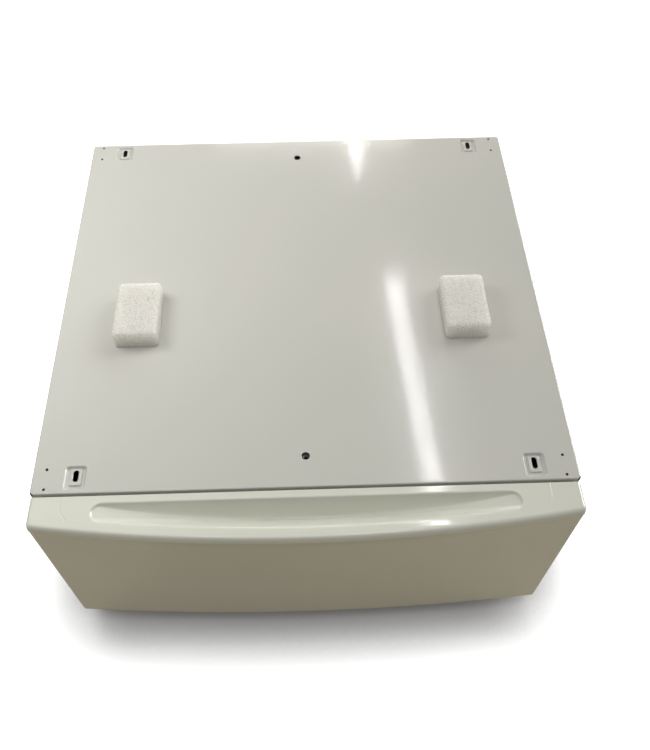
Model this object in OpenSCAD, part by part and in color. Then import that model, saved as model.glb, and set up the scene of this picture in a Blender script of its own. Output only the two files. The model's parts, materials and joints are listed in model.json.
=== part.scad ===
// Laundry pedestal with a full-width storage drawer.
// Frame: +Z up, +X right, the drawer opens towards -Y.
// Origin: on the floor, under the middle of the overall box.

/* [Cabinet] */
// Width over the top panel
body_w = 686; // [640:1:760]
// Depth of the top panel, front edge to rear edge
body_d = 652; // [600:1:720]
// Height of the top face above the floor
body_h = 345; // [325:1:420]
// Thickness of the panel steel
sheet_t = 1.0; // [0.7:0.1:1.4]
// Height of the skirt folded down round the top panel
skirt_h = 26; // [20:1:34]
// Outer radius of the top panel's folds
fold_r = 3.5; // [2.5:0.1:5]
// Height of the side panels' lower edge above the floor
side_clear = 25; // [24:1:30]
// Width of the side panels' front flanges
front_flange_w = 22; // [14:1:28]
// Width of the side panels' rear flanges
rear_flange_w = 15; // [12:1:24]
// Gap between pieces that are slipped into one another
slip_gap = 0.3; // [0.2:0.05:0.5]
// Plain border round the pressed field of the rear panel
press_margin = 60; // [40:1:90]

/* [Top panel pockets] */
// Distance of the slots from the panel's side edge
slot_side = 54; // [42:0.5:80]
// Front pockets' centres behind the panel's front edge
pocket_front_inset = 23; // [22:0.5:32]
// Rear pockets' centres ahead of the panel's rear edge
pocket_rear_inset = 21.5; // [20.5:0.5:32]
// Width of a pocket
pocket_w = 26; // [22:0.5:30]
// Length of a pocket, front to back
pocket_l = 33; // [31:0.5:33]
// Corner radius of a pocket
pocket_r = 4; // [2:0.5:6]
// Depth of a pocket
pocket_depth = 4; // [3:0.1:6]
// Width of the raised plate in a pocket
plate_w = 15; // [12:0.5:18]
// Length of the raised plate
plate_l = 24; // [22:0.5:24.5]
// Gap between the raised plate and the pocket's front wall
plate_gap = 4.5; // [4:0.5:5]
// Height of the raised plate above the pocket's floor
plate_rise = 2.2; // [1:0.1:2.6]
// Width of a bolt slot
slot_w = 6.6; // [5:0.1:8]
// Length of a bolt slot, end to end
slot_l = 16; // [12:0.5:18]
// How far a slot lies behind its pocket's centre
slot_shift = 2; // [1:0.1:2.5]

/* [Top panel holes] */
// Diameter of the two holes on the centre line
center_hole_d = 10.5; // [8:0.1:12]
// Front centre hole behind the panel's front edge
center_front_inset = 43.5; // [42:0.5:60]
// Rear centre hole ahead of the panel's rear edge
center_rear_inset = 42; // [42:0.5:60]
// Diameter of the small corner holes
corner_hole_d = 3.6; // [2.5:0.1:4.5]
// Corner holes' distance from the panel's side edge
corner_hole_side = 17; // [12:0.1:18]
// Outer corner hole's distance from the panel's end
corner_hole_end = 6.6; // [6.5:0.1:9]
// Distance between the two holes of a corner
corner_hole_pitch = 27.8; // [20:0.1:32]
// Radius of the relief cut at the front corners of the panel
relief_r = 2.2; // [1.5:0.1:3]

/* [Drawer front] */
// How far the drawer front's sides lie inside the top panel's sides
front_side_gap = 1; // [0.5:0.5:4]
// Height of the drawer front's lower edge above the floor
front_clear = 42; // [38:1:60]
// How far the drawer front's crest stands ahead of the top panel
front_reach = 70; // [66:1:90]
// Bow of the drawer front across its width
front_bow = 26.5; // [18:0.5:30]
// Gap between the top panel and the drawer front
front_gap = 3; // [2:0.1:4]
// How far the drawer front's ledge lies below the top face
ledge_drop = 2; // [1:0.1:4]
// Wall of the moulding
front_wall = 3; // [2.5:0.1:3.5]
// Radius of the nose between the ledge and the face
nose_r = 12; // [8:0.5:14]
// Radius of the face's lower edge
toe_r = 6; // [4:0.5:8]
// Radius of the drawer front's corners, seen from above and from ahead
front_corner_r = 5; // [4:0.5:8]
// Thickness of the steel panel that closes the moulding's back
backing_t = 1.0; // [0.8:0.1:1.5]
// Thickness of the ribs inside the moulding
front_rib_t = 2.5; // [2:0.1:3]
// How far these ribs reach back from the face's wall
front_rib_reach = 14; // [8:1:20]

/* [Hand scoop] */
// Distance from the drawer front's side to the scoop's end
scoop_side = 76; // [70:1:140]
// Distance from the moulding's back edge to the scoop
scoop_back = 10; // [8:0.5:12]
// Width of the rim between the scoop and the face
scoop_rim = 13.5; // [12.5:0.5:16]
// Radius of the scoop's round ends
scoop_end_r = 13; // [11:0.5:13]
// Depth of the scoop at its middle
scoop_depth = 28; // [20:0.5:30]
// Depth of the scoop where its round ends start
scoop_end_depth = 2; // [1.5:0.5:4]
// Slope of the scoop's front wall below the horizontal
scoop_front_slope = 48; // [45:1:55]
// Lean of the scoop's back wall from the vertical
scoop_back_lean = 31; // [20:1:35]
// Radius of the moulded line that turns round each end of the ledge
trim_arc_r = 28.3; // [24:0.1:30]
// Distance from that line to the drawer front's side
trim_arc_side = 36; // [30:0.5:44]
// Distance of that line's centre ahead of the moulding's back edge
trim_back = 10; // [6:0.5:14]
// Radius of the moulded line's groove
trim_groove_r = 0.8; // [0.5:0.1:1.2]

/* [Drawer bin] */
// Distance from the top panel's side to the bin's side wall
bin_side_gap = 53; // [50:1:90]
// Length of the bin behind the drawer front
bin_l = 540; // [500:1:600]
// Height of the bin
bin_h = 222; // [150:1:225]
// Height of the bin's underside above the floor
bin_clear = 78; // [76:1:82]
// Thickness of the bin's steel
bin_t = 1.0; // [0.8:0.1:1.5]
// Width of the hem rolled round the bin's rim
hem_w = 8; // [5:0.5:9]
// Depth of that hem
hem_h = 8; // [4:0.5:10]
// Height of the bin floor's side flanges
bin_flange = 12; // [8:1:16]
// Number of stiffening ridges in the bin's floor
ridge_count = 5; // [3:1:7]
// Radius of a stiffening ridge
ridge_r = 3.5; // [2.5:0.1:5]
// Distance of the ridges' ends from the bin's front and back
ridge_end_gap = 40; // [20:1:80]

/* [Drawer slides] */
// Distance of the slides' front ends behind the cabinet's front
slide_front_gap = 2; // [1:0.5:5]
// How far the drawer opens
slide_travel = 450; // [400:1:470]
// How far the slide members are longer than that travel
slide_overlap = 80; // [60:1:100]
// Height of the outer slide member
slide_h = 45; // [40:0.5:50]
// Thickness of the closed slide, web to web
slide_t = 12.7; // [12.7:0.1:14]
// Thickness of the slides' steel
rail_t = 1.2; // [1:0.1:1.4]
// Diameter of the bearing balls
ball_d = 2.8; // [2.4:0.1:3]
// Running gap between a ball and its race
ball_gap = 0.2; // [0.1:0.05:0.3]
// Thickness of a ball cage
cage_t = 0.6; // [0.4:0.1:0.7]
// Length of a ball cage
cage_l = 110; // [80:1:120]
// Balls in each row of a cage
balls_per_row = 6; // [4:1:8]
// How far a cage's lips reach from its back
cage_reach = 7; // [5:0.5:7]
// How far the middle and outer members' lips stay from the bin's wall
lip_gap = 0.6; // [0.4:0.1:1]
// Height of the slides' centre line above the floor
slide_z = 160; // [150:1:200]
// Height of the channel that carries a slide
support_h = 60; // [54:1:70]
// Thickness of that channel's steel
support_t = 1.5; // [1.2:0.1:2]
// Gap between that channel and the cabinet's back
support_end_gap = 28; // [20:1:60]

/* [Frame rails] */
// Thickness of the frame rails' steel
frame_t = 1.2; // [1:0.1:1.6]
// Height of the base rails
base_rail_h = 45; // [35:1:45]
// Width of the base rails' flanges
base_flange_w = 30; // [24:1:32]
// Depth of the top rails' web
top_rail_h = 27; // [22:1:30]
// Width of the top rails' lower flanges
top_flange_w = 30; // [24:1:31]
// Width of a rib's crown
rib_crown_w = 24; // [20:1:30]
// Depth of a rib below the top panel
rib_h = 12; // [10:1:16]
// Width of each brim of a rib
rib_brim_w = 12; // [8:1:16]
// Distance of the outer ribs from the panel's side edge
rib_side = 168; // [120:1:240]

/* [Legs] */
// Distance of a leg from the cabinet's side
leg_side = 45; // [44:1:52]
// Distance of a leg from the cabinet's front or rear edge
leg_end = 46; // [46:1:56]
// Diameter of a leg's threaded stud
stud_d = 10; // [8:0.5:12]
// Radial running gap of the stud in its nut
thread_gap = 0.05; // [0.02:0.01:0.1]
// Diameter of a foot pad
pad_d = 38; // [30:1:44]
// Height of a foot pad
pad_h = 9; // [7:0.5:10]
// Length of the stud above its hexagon
stud_l = 48; // [42:1:54]
// Width across the flats of the stud's hexagon
hex_af = 14; // [13:0.5:17]
// Height of the stud's hexagon
hex_h = 5; // [4:0.5:6]
// Width across the flats of the leg's nuts
nut_af = 17; // [15:0.5:17]
// Height of a lock nut
lock_nut_h = 6; // [5:0.5:7]
// Height of a weld nut
weld_nut_h = 8; // [6:0.5:9]
// Thickness of a leg bracket
bracket_t = 3; // [2:0.5:4]
// Size of a leg bracket along each rail
bracket_w = 68; // [64:1:76]

/* [Fasteners] */
// Diameter of the slide rivets' shanks
rivet_d = 4.8; // [4:0.1:5]
// Diameter of the rivets' heads
rivet_head_d = 9; // [7:0.5:9]
// Diameter of the drawer front's screws
front_screw_d = 4.4; // [3.5:0.1:5]
// Length of these screws ahead of the backing panel
front_screw_l = 12; // [8:1:14]
// Depth of their holes
screw_hole_l = 14; // [14:1:18]
// Diameter of the bosses that these screws enter
boss_d = 12; // [10:0.5:14]
// Height of the lower row of screws above the bin's underside
boss_rise = 20; // [14:1:40]
// Depth of the upper row of screws below the bin's rim
boss_drop = 22; // [14:1:40]
// Diameter of the drawer's rubber bumpers
bumper_d = 10; // [8:0.5:14]
// Height of the lower bumpers above the bin's underside
bumper_rise = 10; // [6:1:40]
// Depth of the upper bumpers below the bin's rim
bumper_drop = 20; // [10:1:40]
// Diameter of the rear panel's screws
rear_screw_d = 3.8; // [3:0.1:4.2]
// Diameter of the weld nuts' thread under the centre holes
center_thread_d = 6; // [5:0.5:6]
// Width across the flats of those weld nuts
center_nut_af = 10; // [9:0.5:11]
// Height of those weld nuts
center_nut_h = 5; // [4:0.5:6]

/* [Foam pads] */
// Width of a transit pad
foam_w = 64; // [40:1:90]
// Length of a transit pad, front to back
foam_l = 98; // [60:1:140]
// Height of a transit pad
foam_h = 30; // [15:1:45]
// Distance of the pads' centres from the panel's side edge
foam_side = 112; // [60:1:180]
// Pads' centres behind the panel's front edge
foam_inset = 271; // [120:1:480]

/* [Hidden] */

LEFT = -1;
RIGHT = 1;
FRONT = -1;
REAR = 1;
CORNERS = [[LEFT, FRONT], [RIGHT, FRONT], [LEFT, REAR], [RIGHT, REAR]];
EPS = 0.01;
$fn = 64;

// Colours, as the photographed object has them
enamel = [0.86, 0.86, 0.83];
zinc = [0.70, 0.71, 0.72];
galvanised = [0.62, 0.63, 0.64];
bin_grey = [0.78, 0.79, 0.79];
moulding = [0.84, 0.85, 0.81];
rubber = [0.12, 0.12, 0.12];
foam_white = [0.95, 0.94, 0.90];

// Cabinet, from the outside in
y_edge = front_reach - (body_d + front_reach) / 2;
y_rear = y_edge + body_d;
z_under = body_h - sheet_t;
z_fold = body_h - fold_r;
side_out = body_w / 2 - sheet_t - slip_gap;
side_in = side_out - sheet_t;
y_cab = y_edge + sheet_t + slip_gap;
y_cab_in = y_cab + sheet_t;
y_back = y_rear - sheet_t - slip_gap;
y_back_in = y_back - sheet_t;
y_rear_flange = y_back_in - sheet_t;

// Base frame
z_bracket = side_clear - 1;
z_rail = z_bracket + bracket_t;
rail_in = side_in - base_flange_w;
leg_x = body_w / 2 - leg_side;
leg_y = [y_edge + leg_end, y_rear - leg_end];
z_lock = z_bracket - lock_nut_h;

// Top frame
rib_y0 = max(y_cab_in + frame_t, y_edge + fold_r);
rib_y1 = min(y_rear_flange - frame_t, y_rear - fold_r);
rib_x = body_w / 2 - rib_side;
slot_x = body_w / 2 - slot_side;
pocket_x = [slot_x - pocket_w / 2, slot_x + pocket_w / 2];
pocket_y = [y_edge + pocket_front_inset, y_rear - pocket_rear_inset];
center_y = [y_edge + center_front_inset, y_rear - center_rear_inset];
corner_hole_x = body_w / 2 - corner_hole_side;
corner_inset = [corner_hole_end, corner_hole_end + corner_hole_pitch];
corner_hole_y = [for (y = corner_inset) each [y_edge + y, y_rear - y]];

// Drawer front: the face is part of a large upright cylinder
y_front_back = y_edge - front_gap;
z_ledge = body_h - ledge_drop;
y_crest = y_edge - front_reach;
front_half = body_w / 2 - front_side_gap;
face_r = (front_half * front_half + front_bow * front_bow) / (2 * front_bow);
face_y = y_crest + face_r;
sweep_margin = 20;
sweep_angle = 2 * asin(min(0.9, (front_half + sweep_margin) / face_r));
sweep_depth = front_reach + sweep_margin / 2;
scoop_half = front_half - scoop_side - scoop_end_r;
scoop_y = y_front_back - scoop_back;
scoop_drop = scoop_depth - scoop_end_depth;
scoop_floor_r = (scoop_half * scoop_half + scoop_drop * scoop_drop) / (2 * scoop_drop);
trim_x = front_half - trim_arc_side - trim_arc_r;
trim_y = y_front_back - trim_back;

// Bin
bin_half = body_w / 2 - bin_side_gap;
y_bin = y_front_back + bin_t;
y_bin_end = y_bin + bin_l;
z_bin_top = bin_clear + bin_h;

// Slides: x is counted from the bin's side wall outwards
slide_back = bin_half + slide_t;
slide_y0 = y_cab + slide_front_gap;
slide_l = slide_travel + slide_overlap;
slide_y1 = slide_y0 + slide_l;
race = ball_d + 2 * ball_gap;
outer_half = slide_h / 2;
middle_half = outer_half - rail_t - race;
inner_half = middle_half - rail_t - race;
web_gap = cage_t + 2 * ball_gap;
support_y1 = y_rear_flange - support_end_gap;
x_middle_web = slide_t - rail_t - web_gap;
x_inner_tips = x_middle_web - rail_t - web_gap;
x_outer_cage = slide_t - rail_t - ball_gap;
x_inner_cage = x_middle_web - rail_t - ball_gap;
outer_race_mid = outer_half - rail_t - race / 2;
inner_race_mid = middle_half - rail_t - race / 2;
cage_y0 = (slide_y0 + slide_y1 - cage_l) / 2;
ball_y = [for (i = [0 : balls_per_row - 1]) cage_y0 + cage_l * (i + 0.5) / balls_per_row];

// Fasteners
rivet_y = [for (f = [0.1, 0.5, 0.9]) slide_y0 + f * slide_l];
boss_x = [for (f = [-0.84, -0.3, 0.3, 0.84]) f * bin_half];
boss_z = [bin_clear + boss_rise, z_bin_top - boss_drop];
boss_spots = [for (x = boss_x) for (z = boss_z) [x, z]];
rear_screw_z = [for (f = [0.12, 0.5, 0.86]) side_clear + f * (body_h - side_clear)];
screw_head_h = 1.2;
foam_x = body_w / 2 - foam_side;

// ---------- shared shapes ----------

// A block between two limits on each axis
module block(x, y, z) {
    translate([x[0], y[0], z[0]])
        cube([x[1] - x[0], y[1] - y[0], z[1] - z[0]]);
}

// A block with round upright edges
module pill(x, y, z, r) {
    for (px = [x[0] + r, x[1] - r])
        for (py = [y[0] + r, y[1] - r])
            translate([px, py, z[0]])
                cylinder(h = z[1] - z[0], r = r);
    block([x[0] + r, x[1] - r], y, z);
    block(x, [y[0] + r, y[1] - r], z);
}

// An upright profile with its two upper corners rounded
module arch(w, h, r) {
    translate([-w / 2, 0])
        square([w, h - r]);
    translate([r - w / 2, 0])
        square([w - 2 * r, h]);
    for (x = [r - w / 2, w / 2 - r])
        translate([x, h - r])
            circle(r);
}

// A box whose four upper edges are folded to a radius
module folded_box(w, d, h, r) {
    intersection() {
        rotate([90, 0, 0])
            linear_extrude(d, center = true)
                arch(w, h, r);
        rotate([90, 0, 90])
            linear_extrude(w, center = true)
                arch(d, h, r);
    }
}

// A cylinder along X or Y between two limits
module bar_x(x0, x1, y, z, r) {
    translate([x0, y, z])
        rotate([0, 90, 0])
            cylinder(h = x1 - x0, r = r);
}

module bar_y(y0, y1, x, z, r) {
    translate([x, y1, z])
        rotate([90, 0, 0])
            cylinder(h = y1 - y0, r = r);
}

// A hexagonal prism given by its width across the flats
module hex(af, h) {
    cylinder(h = h, r = af / sqrt(3), $fn = 6);
}

// Draws the right-hand piece as it is and the left-hand one mirrored
module on_side(side) {
    mirror([side < 0 ? 1 : 0, 0, 0])
        children();
}

// ---------- top panel ----------

module pocket_at(y, grow, z0, z1) {
    pill([pocket_x[0] - grow, pocket_x[1] + grow],
         [y - pocket_l / 2 - grow, y + pocket_l / 2 + grow], [z0, z1], pocket_r + grow);
}

module plate_at(y, inset, z0, z1) {
    y0 = y - pocket_l / 2 + plate_gap;
    block([slot_x - plate_w / 2 + inset, slot_x + plate_w / 2 - inset],
          [y0 + inset, y0 + plate_l - inset], [z0, z1]);
}

module slot_at(y) {
    half_run = (slot_l - slot_w) / 2;
    z0 = body_h - pocket_depth - 2 * sheet_t;
    h = pocket_depth + 3 * sheet_t;
    for (end = [-half_run, half_run])
        translate([slot_x, y + slot_shift + end, z0])
            cylinder(h = h, r = slot_w / 2);
    block([slot_x - slot_w / 2, slot_x + slot_w / 2],
          [y + slot_shift - half_run, y + slot_shift + half_run], [z0, z0 + h]);
}

module corner_holes(z, h) {
    for (side = [LEFT, RIGHT])
        for (y = corner_hole_y)
            translate([side * corner_hole_x, y, z])
                cylinder(h = h, r = corner_hole_d / 2);
}

module top_panel() {
    z_floor = body_h - pocket_depth;
    z_plate = z_floor + plate_rise;
    z_skirt = body_h - skirt_h;
    color(enamel)
    difference() {
        union() {
            difference() {
                translate([0, (y_edge + y_rear) / 2, z_skirt])
                    folded_box(body_w, body_d, skirt_h, fold_r);
                translate([0, (y_edge + y_rear) / 2, z_skirt - sheet_t])
                    folded_box(body_w - 2 * sheet_t, body_d - 2 * sheet_t, skirt_h, fold_r - sheet_t);
            }
            for (side = [LEFT, RIGHT])
                for (y = pocket_y)
                    on_side(side)
                        pocket_at(y, sheet_t, z_floor - sheet_t, z_under + sheet_t / 2);
        }
        for (side = [LEFT, RIGHT])
            for (y = pocket_y)
                on_side(side) {
                    difference() {
                        pocket_at(y, 0, z_floor, body_h + sheet_t);
                        plate_at(y, 0, z_floor - sheet_t, z_plate);
                    }
                    plate_at(y, sheet_t, z_floor - 2 * sheet_t, z_plate - sheet_t);
                    slot_at(y);
                }
        for (y = center_y)
            translate([0, y, z_under - sheet_t])
                cylinder(h = 3 * sheet_t, r = center_hole_d / 2);
        corner_holes(z_under - sheet_t, 3 * sheet_t);
        for (side = [LEFT, RIGHT])
            translate([side * (body_w / 2 - relief_r), y_edge, z_skirt - sheet_t])
                cylinder(h = skirt_h + 2 * sheet_t, r = relief_r);
    }
}

// ---------- cabinet panels ----------

module side_panel() {
    z = [side_clear, z_fold];
    color(enamel) {
        block([side_in, side_out], [y_cab, y_back_in], z);
        block([side_in - front_flange_w, side_in], [y_cab, y_cab_in], z);
        block([side_in - rear_flange_w, side_in], [y_rear_flange, y_back_in], z);
    }
}

// Flat sheet with a shallow field pressed outwards for stiffness
module rear_panel() {
    press = y_back - y_back_in;
    field_x = side_in - press_margin;
    field_z = [side_clear + press_margin, z_fold - press_margin];
    color(galvanised)
    difference() {
        union() {
            block([-side_out, side_out], [y_back_in, y_back], [side_clear, z_fold]);
            block([-field_x, field_x], [y_back_in - press, y_back_in], field_z);
        }
        block([-field_x + press, field_x - press], [y_back_in, y_back + press],
              [field_z[0] + press, field_z[1] - press]);
        for (side = [LEFT, RIGHT])
            for (z = rear_screw_z)
                bar_y(y_back_in - press, y_back + press, side * (side_in - rear_flange_w / 2), z,
                      rear_screw_d / 2);
    }
}

// ---------- frame rails ----------

// Angle rail behind the front or rear skirt of the top panel, notched where a pocket meets it
module top_rail(end) {
    y_web = end < 0 ? [y_cab_in, y_cab_in + frame_t] : [y_rear_flange - frame_t, y_rear_flange];
    y_flange = end < 0 ? [y_cab_in, y_cab_in + top_flange_w] : [y_rear_flange - top_flange_w, y_rear_flange];
    pocket = pocket_y[end < 0 ? 0 : 1];
    z0 = z_under - top_rail_h;
    clear = sheet_t + slip_gap;
    color(galvanised)
    difference() {
        union() {
            block([-side_in, side_in], y_web, [z0, z_fold]);
            block([-side_in, side_in], y_flange, [z0, z0 + frame_t]);
        }
        for (side = [LEFT, RIGHT])
            on_side(side)
                block([pocket_x[0] - clear, pocket_x[1] + clear],
                      [pocket - pocket_l / 2 - clear, pocket + pocket_l / 2 + clear],
                      [body_h - pocket_depth - clear, body_h]);
    }
}

// Hat-section rib, brims up against the top panel
module rib_section() {
    half = rib_crown_w / 2;
    for (side = [0, 1])
        mirror([side, 0]) {
            translate([half - frame_t, -frame_t])
                square([rib_brim_w + frame_t, frame_t]);
            translate([half - frame_t, -rib_h])
                square([frame_t, rib_h]);
        }
    translate([-half, -rib_h])
        square([rib_crown_w, frame_t]);
}

module rib_at(x) {
    translate([x, rib_y1, z_under])
        rotate([90, 0, 0])
            linear_extrude(rib_y1 - rib_y0)
                rib_section();
}

module top_rib(x) {
    color(galvanised)
        rib_at(x);
}

module top_rib_center() {
    color(galvanised)
    difference() {
        rib_at(0);
        for (y = center_y)
            translate([0, y, z_under - rib_h - frame_t])
                cylinder(h = 3 * frame_t, r = center_thread_d / 2 + thread_gap);
    }
}

module center_weld_nuts() {
    color(zinc)
    for (y = center_y)
        translate([0, y, z_under - rib_h + frame_t])
            difference() {
                hex(center_nut_af, center_nut_h);
                translate([0, 0, -EPS])
                    cylinder(h = center_nut_h + 2 * EPS, r = center_thread_d / 2);
            }
}

// Channel section of a base rail: the web stands at x = 0, the flanges point along +x
module channel_section(h, flange, t) {
    square([t, h]);
    square([flange, t]);
    translate([0, h - t])
        square([flange, t]);
}

module cross_base_rail(end) {
    y_web = end < 0 ? y_cab_in : y_rear_flange;
    color(galvanised)
    translate([0, y_web, z_rail])
        rotate([0, 0, end < 0 ? 90 : -90])
            rotate([90, 0, 0])
                linear_extrude(2 * rail_in, center = true)
                    channel_section(base_rail_h, base_flange_w, frame_t);
}

module side_base_rail() {
    color(galvanised)
    translate([side_in, (y_cab_in + y_rear_flange) / 2, z_rail])
        mirror([1, 0, 0])
            rotate([90, 0, 0])
                linear_extrude(y_rear_flange - y_cab_in, center = true)
                    channel_section(base_rail_h, base_flange_w, frame_t);
}

// ---------- legs ----------

// Corner plate under the base rails, drawn for the rear right corner
module leg_bracket_plate() {
    cut = bracket_w / 3;
    linear_extrude(bracket_t)
        polygon([[0, 0], [0, -bracket_w], [cut - bracket_w, -bracket_w],
                 [-bracket_w, cut - bracket_w], [-bracket_w, 0]]);
}

module leg_bracket(corner) {
    color(zinc)
    difference() {
        translate([0, (y_cab_in + y_rear_flange) / 2, z_bracket])
            mirror([corner[0] < 0 ? 1 : 0, 0, 0])
                mirror([0, corner[1] < 0 ? 1 : 0, 0])
                    translate([side_in, (y_rear_flange - y_cab_in) / 2, 0])
                        leg_bracket_plate();
        translate([corner[0] * leg_x, leg_y[corner[1] < 0 ? 0 : 1], z_bracket - bracket_t])
            cylinder(h = 3 * bracket_t, r = stud_d / 2 + slip_gap);
    }
}

module leg_nut(h) {
    difference() {
        hex(nut_af, h);
        translate([0, 0, -EPS])
            cylinder(h = h + 2 * EPS, r = stud_d / 2 + thread_gap);
    }
}

module leg_nuts(z, h) {
    color(zinc)
    for (corner = CORNERS)
        translate([corner[0] * leg_x, leg_y[corner[1] < 0 ? 0 : 1], z])
            leg_nut(h);
}

module leg_stud(corner) {
    seat = pad_h / 2;
    tip = 1.5;
    color(zinc)
    translate([corner[0] * leg_x, leg_y[corner[1] < 0 ? 0 : 1], 0]) {
        translate([0, 0, pad_h])
            hex(hex_af, hex_h);
        translate([0, 0, seat])
            cylinder(h = pad_h - seat + hex_h + stud_l - tip, r = stud_d / 2);
        translate([0, 0, pad_h + hex_h + stud_l - tip])
            cylinder(h = tip, r1 = stud_d / 2, r2 = stud_d / 2 - tip);
    }
}

module foot_pad(corner) {
    brim = pad_h / 3;
    neck = hex_af / 2 + 3;
    seat = pad_h / 2;
    color(rubber)
    translate([corner[0] * leg_x, leg_y[corner[1] < 0 ? 0 : 1], 0])
        rotate_extrude()
            polygon([[0, 0], [pad_d / 2 - 1, 0], [pad_d / 2, 1], [pad_d / 2, brim], [neck, pad_h],
                     [stud_d / 2 + thread_gap, pad_h], [stud_d / 2 + thread_gap, seat], [0, seat]]);
}

// ---------- slides ----------

// Slide sections, drawn with the bin's side wall at x = 0 and the height centred on y = 0
module slide_channel(x_web, x_tips, half) {
    x0 = min(x_web, x_tips);
    w = abs(x_tips - x_web);
    toward = x_web > x_tips ? -1 : 1;
    translate([min(x_web, x_web + toward * rail_t), -half])
        square([rail_t, 2 * half]);
    for (y = [-half, half - rail_t])
        translate([x0, y])
            square([w, rail_t]);
}

// Draws a slide section along the slide, at the slides' height
module slide_bar(y0, y1) {
    translate([bin_half, y1, slide_z])
        rotate([90, 0, 0])
            linear_extrude(y1 - y0)
                children();
}

// Ball cages sit between the members, each at the middle of its race
module outer_cage() {
    cage(x_outer_cage, outer_race_mid + cage_t / 2);
}

module inner_cage() {
    cage(x_inner_cage, inner_race_mid + cage_t / 2);
}

module slide_outer() {
    color(zinc)
    difference() {
        slide_bar(slide_y0, slide_y1)
            slide_channel(slide_t, lip_gap, outer_half);
        for (y = rivet_y)
            bar_x(slide_back - 2 * rail_t, slide_back + rail_t, y, slide_z, rivet_d / 2 + thread_gap);
    }
}

module slide_middle() {
    color(zinc)
        slide_bar(slide_y0, slide_y1)
            slide_channel(x_middle_web, lip_gap, middle_half);
}

module slide_inner() {
    color(zinc)
    difference() {
        slide_bar(slide_y0, slide_y1)
            slide_channel(0, x_inner_tips, inner_half);
        for (y = rivet_y)
            bar_x(bin_half - rail_t, bin_half + 2 * rail_t, y, slide_z, rivet_d / 2 + thread_gap);
    }
}

// Ball cage between two members: a thin channel pierced for two rows of balls
module cage(x_back, half) {
    x_tips = x_back - cage_reach;
    hole_r = ball_d / 2 + thread_gap;
    color(galvanised)
    difference() {
        slide_bar(cage_y0, cage_y0 + cage_l) {
            translate([x_back - cage_t, -half])
                square([cage_t, 2 * half]);
            for (y = [-half, half - cage_t])
                translate([x_tips, y])
                    square([cage_reach, cage_t]);
        }
        for (y = ball_y)
            translate([bin_half + x_tips + cage_reach / 2, y, slide_z - half - cage_t])
                cylinder(h = 2 * (half + cage_t), r = hole_r);
    }
}

module balls(x_back, half) {
    color(zinc)
    for (y = ball_y)
        for (z = [-half, half])
            translate([bin_half + x_back - cage_reach / 2, y, slide_z + z])
                sphere(ball_d / 2, $fn = 24);
}

module slide_support() {
    z = [slide_z - support_h / 2, slide_z + support_h / 2];
    y = [y_cab_in, support_y1];
    color(galvanised)
    difference() {
        union() {
            block([slide_back, slide_back + support_t], y, z);
            block([slide_back, side_in], y, [z[0], z[0] + support_t]);
            block([slide_back, side_in], y, [z[1] - support_t, z[1]]);
        }
        for (ry = rivet_y)
            bar_x(slide_back - support_t, slide_back + 2 * support_t, ry, slide_z,
                  rivet_d / 2 + thread_gap);
    }
}

// Rivets that hold the outer members to their channels, flush on the ball side
module cabinet_rivets() {
    head_h = 2;
    color(zinc)
    for (side = [LEFT, RIGHT])
        for (y = rivet_y)
            on_side(side) {
                bar_x(slide_back - rail_t, slide_back + support_t + EPS, y, slide_z, rivet_d / 2);
                bar_x(slide_back + support_t, slide_back + support_t + head_h, y, slide_z, rivet_head_d / 2);
            }
}

// Rivets that hold the inner members to the bin
module drawer_rivets() {
    head_h = 1.6;
    tail_h = 0.8;
    color(zinc)
    for (side = [LEFT, RIGHT])
        for (y = rivet_y)
            on_side(side) {
                bar_x(bin_half - bin_t, bin_half + rail_t + EPS, y, slide_z, rivet_d / 2);
                bar_x(bin_half + rail_t, bin_half + rail_t + head_h, y, slide_z, rivet_head_d / 2);
                bar_x(bin_half - bin_t - tail_h, bin_half - bin_t, y, slide_z, rivet_head_d / 2 - 1);
            }
}

// ---------- drawer front ----------

// Sweeps a section along the bowed face: x in the section is the distance ahead of the sweep's axis
module along_face() {
    translate([0, face_y, 0])
        rotate([0, 0, -90 - sweep_angle / 2])
            rotate_extrude(angle = sweep_angle, $fn = 1440)
                children();
}

// Section of the moulding, drawn in by a wall when inset is above zero
module front_section(inset) {
    r_nose = nose_r - inset;
    r_toe = toe_r - inset;
    x1 = face_r - inset;
    x0 = face_r - sweep_depth;
    z0 = front_clear + inset;
    z1 = z_ledge - inset;
    translate([x0, z0])
        square([x1 - x0 - r_nose, z1 - z0]);
    translate([x0, z0 + r_toe])
        square([x1 - x0, z1 - z0 - r_toe - r_nose]);
    translate([x1 - r_nose, z1 - r_nose])
        circle(r_nose);
    translate([x1 - r_toe, z0 + r_toe])
        circle(r_toe);
    translate([x0, z0])
        square([x1 - x0 - r_toe, r_toe]);
}

// The moulding as a solid block, drawn in by a wall when inset is above zero
module front_body(inset) {
    half = front_half - inset;
    z0 = front_clear + inset;
    z1 = z_ledge - inset;
    r = front_corner_r - inset;
    intersection() {
        along_face()
            front_section(inset);
        translate([0, y_front_back, (z0 + z1) / 2])
            rotate([90, 0, 0])
                linear_extrude(sweep_depth)
                    round_rect(2 * half, z1 - z0, r);
        front_plan(inset);
    }
}

module round_rect(w, h, r) {
    square([w - 2 * r, h], center = true);
    square([w, h - 2 * r], center = true);
    for (x = [r - w / 2, w / 2 - r])
        for (y = [r - h / 2, h / 2 - r])
            translate([x, y])
                circle(r);
}

// Upright prism that rounds the two front corners of the moulding
module front_plan(inset) {
    half = front_half - inset;
    r = front_corner_r - inset;
    y_corner = y_crest + front_bow + front_corner_r;
    z = [front_clear - 1, z_ledge + 1];
    block([r - half, half - r], [y_crest - 1, y_front_back], z);
    block([-half, half], [y_corner, y_front_back], z);
    for (side = [LEFT, RIGHT])
        translate([side * (half - r), y_corner, z[0]])
            cylinder(h = z[1] - z[0], r = r);
}

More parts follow.
